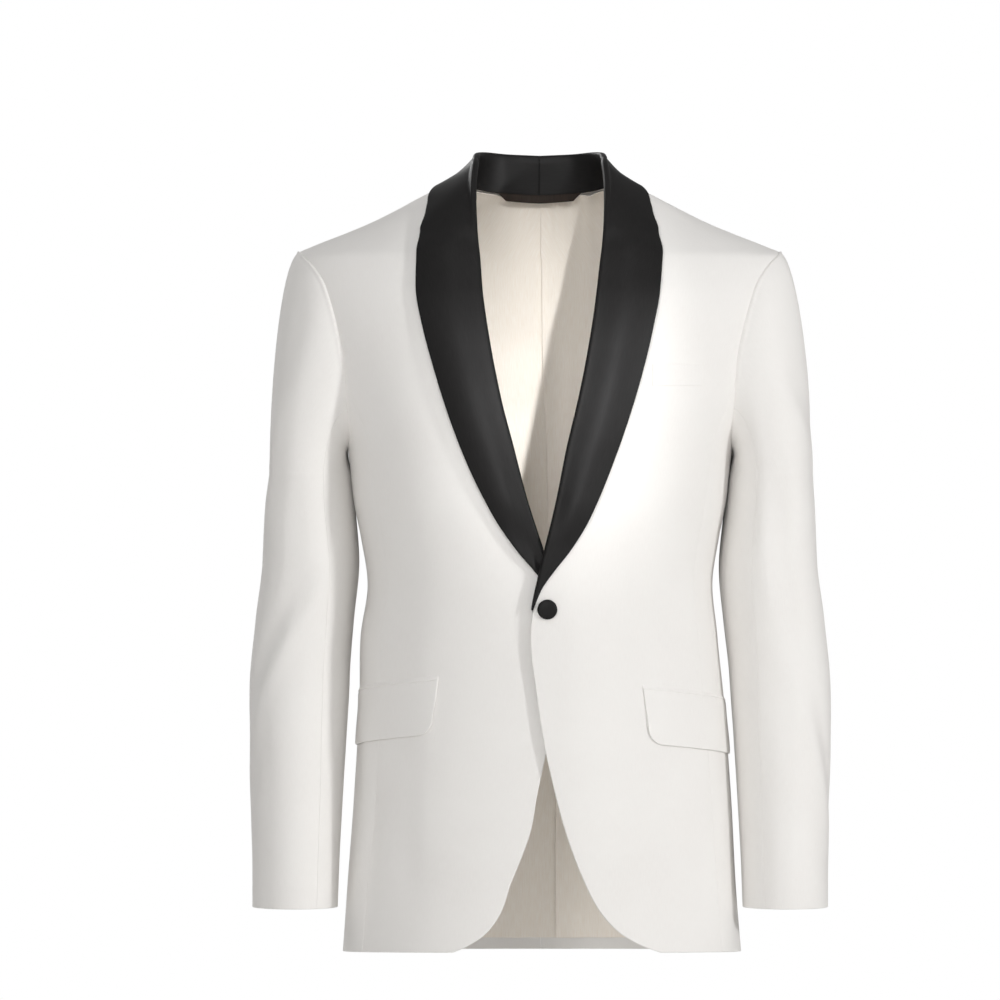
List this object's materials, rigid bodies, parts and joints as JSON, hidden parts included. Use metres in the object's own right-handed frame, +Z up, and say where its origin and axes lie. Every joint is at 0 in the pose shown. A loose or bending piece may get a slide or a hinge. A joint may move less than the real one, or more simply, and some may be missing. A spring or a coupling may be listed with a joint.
{
  "type": "tuxedo jacket",
  "caption": "Single-breasted dinner jacket with a satin shawl collar, long sleeves and flapped hip pockets, filled out hollow as if worn, open at neck, hem and cuffs.",
  "frame": {"origin": "midway between the shoulders at the base of the neck opening, where the worn jacket is carried", "axes": "+Z up, the front faces -Y, +X towards the wearer's left"},
  "size_m": [0.5802, 0.2878, 0.8086],
  "materials": {
    "ivory_suiting": "matt, finely woven, softly napped",
    "black_satin": "satin with a soft sheen",
    "black_tape": "matt woven tape",
    "cream_lining": "smooth lining satin"
  },
  "bodies": {
    "root": {"front_left": "ivory_suiting", "front_right": "ivory_suiting", "side_panel_left": "ivory_suiting", "side_panel_right": "ivory_suiting", "back_left": "ivory_suiting", "back_right": "ivory_suiting", "top_sleeve_left": "ivory_suiting", "top_sleeve_right": "ivory_suiting", "under_sleeve_left": "ivory_suiting", "under_sleeve_right": "ivory_suiting", "pocket_flap_left": "ivory_suiting", "pocket_flap_right": "ivory_suiting", "pocket_jet_left": "ivory_suiting", "pocket_jet_right": "ivory_suiting", "breast_welt": "ivory_suiting", "shawl_collar_left": "black_satin", "shawl_collar_right": "black_satin", "front_button": "black_satin", "hanger_loop": "black_tape", "back_lining_left": "cream_lining", "back_lining_right": "cream_lining"}
  },
  "joints": []
}
